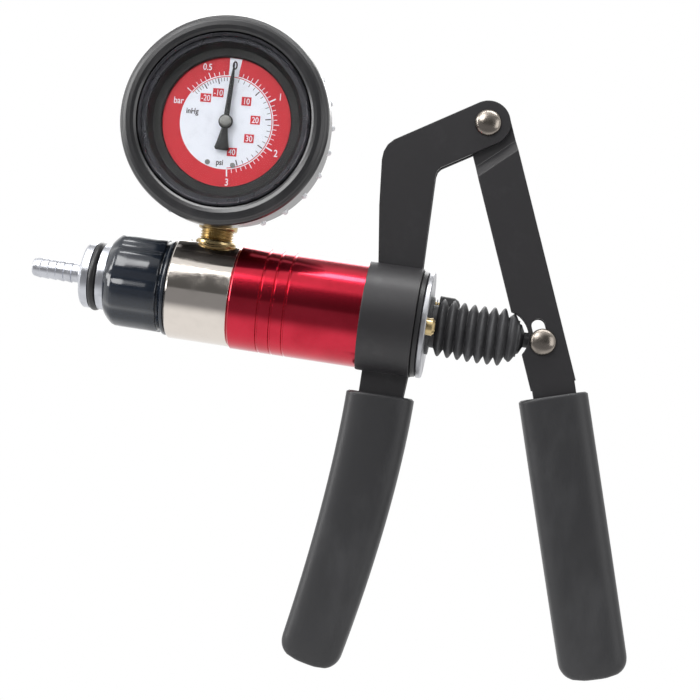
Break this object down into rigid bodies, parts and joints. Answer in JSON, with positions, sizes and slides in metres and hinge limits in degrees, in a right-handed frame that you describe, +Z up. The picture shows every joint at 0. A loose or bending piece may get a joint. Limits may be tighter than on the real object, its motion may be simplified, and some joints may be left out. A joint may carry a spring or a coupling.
{
  "type": "hand vacuum pump",
  "caption": "Hand vacuum pump: barbed nozzle, selector collar, plated head, dial gauge on top, red barrel, rubber bellows and a two-lever squeeze handle with grips.",
  "frame": {"origin": "on the barrel's axis, in the face at the foot of the hose barbs where a pushed-on hose stops", "axes": "+X runs along the barrel from the nozzle to the squeeze lever, +Z up through the gauge's stem, and the gauge's dial faces -Y"},
  "size_m": [0.2341, 0.0446, 0.225],
  "materials": {
    "bright_aluminium": "bright turned aluminium",
    "seal_rubber": "smooth black seal rubber",
    "collar_plastic": "blue-black glossy moulded plastic",
    "steel": "plain steel",
    "polished_nickel": "polished nickel plate",
    "brass": "turned brass",
    "case_black": "black painted steel",
    "boot_rubber": "matt black moulded rubber",
    "clear_band": "clear soft vinyl",
    "bezel_metal": "darkened turned steel",
    "lens_clear": "clear acrylic window",
    "dial_red": "red and white printed dial",
    "needle_black": "black painted pointer",
    "cap_metal": "turned cap",
    "red_anodised": "red anodised aluminium",
    "plate_aluminium": "satin aluminium",
    "bellows_rubber": "soft black rubber",
    "rod_end_black": "black nylon",
    "rivet_nickel": "nickel plated rivet",
    "lever_black": "fine black powder coat",
    "grip_rubber": "satin black vinyl grip"
  },
  "bodies": {
    "pump": {"hose_nozzle": "bright_aluminium", "nozzle_oring": "seal_rubber", "detent_ball": "steel", "detent_spring": "steel", "pump_head": "polished_nickel", "head_seal": "seal_rubber", "valve_plate": "steel", "intake_valve": "seal_rubber", "exhaust_valve": "seal_rubber", "gauge_stem": "brass", "stem_nut": "brass", "gauge_case": "case_black", "gauge_boot": "boot_rubber", "nub_ring": "clear_band", "bezel_ring": "bezel_metal", "lens": "lens_clear", "dial_surround": "case_black", "dial_plate": "dial_red", "dial_screws": "needle_black", "gauge_movement": "brass", "bourdon_tube": "brass", "barrel": "red_anodised", "return_spring": "steel", "end_gasket": "seal_rubber", "end_plate": "plate_aluminium", "rod_bush": "brass", "rod_seal": "seal_rubber", "bellows": "bellows_rubber", "vent_fitting": "brass", "release_spring": "steel", "clamp_plate_near": "lever_black", "clamp_plate_far": "lever_black", "clamp_rivet": "rivet_nickel", "fixed_grip": "grip_rubber", "pivot_rivet": "rivet_nickel"},
    "collar": {"selector_collar": "collar_plastic"},
    "pointer": {"needle": "needle_black", "needle_cap": "cap_metal", "gauge_pinion": "brass"},
    "sector": {"gauge_sector": "brass"},
    "link": {"gauge_link": "steel"},
    "lever": {"lever_plate_near": "lever_black", "lever_plate_far": "lever_black", "lever_rivet": "rivet_nickel", "lever_grip": "grip_rubber"},
    "rod": {"piston": "bright_aluminium", "piston_seals": "seal_rubber", "piston_rod": "steel", "rod_end": "rod_end_black", "rod_pin": "rivet_nickel"},
    "button": {"release_button": "bellows_rubber", "release_valve": "brass"}
  },
  "joints": [
    {"name": "lever_squeeze", "type": "hinge", "parent": "pump", "child": "lever", "pos_m": [0.1401, 0, 0.0753], "axis": [0, 1, 0], "range_deg": [0, 15]},
    {"name": "rod_slide", "type": "slide", "parent": "pump", "child": "rod", "axis": [-1, 0, 0], "range_m": [0, 0.0216], "stiffness_N_per_m": 400, "springref_m": -0.02, "deforming": ["bellows", "return_spring"]},
    {"name": "collar_turn", "type": "hinge", "parent": "pump", "child": "collar", "pos_m": [0.02, 0, 0], "axis": [1, 0, 0], "range_deg": [0, 90]},
    {"name": "needle_sweep", "type": "hinge", "parent": "pump", "child": "pointer", "pos_m": [0.04814, -0.018, 0.0605], "axis": [0, 1, 0], "range_deg": [-57, 171], "stiffness_Nm_per_rad": 0.0005},
    {"name": "sector_swing", "type": "hinge", "parent": "pump", "child": "sector", "pos_m": [0.04814, -0.0084, 0.045], "axis": [0, 1, 0], "range_deg": [-30, 10]},
    {"name": "link_slide", "type": "slide", "parent": "pump", "child": "link", "axis": [1, 0, 0], "range_m": [-0.0007, 0.0019]},
    {"name": "release_press", "type": "slide", "parent": "pump", "child": "button", "axis": [-1, 0, 0], "range_m": [0, 0.0018], "stiffness_N_per_m": 800, "springref_m": -0.004, "deforming": ["release_spring"]}
  ],
  "couplings": [
    {"joint": "rod_slide", "follows": "lever_squeeze", "m_per_rad": 0.08212},
    {"joint": "sector_swing", "follows": "needle_sweep", "ratio": -0.16923},
    {"joint": "link_slide", "follows": "needle_sweep", "m_per_rad": 0.000575}
  ]
}
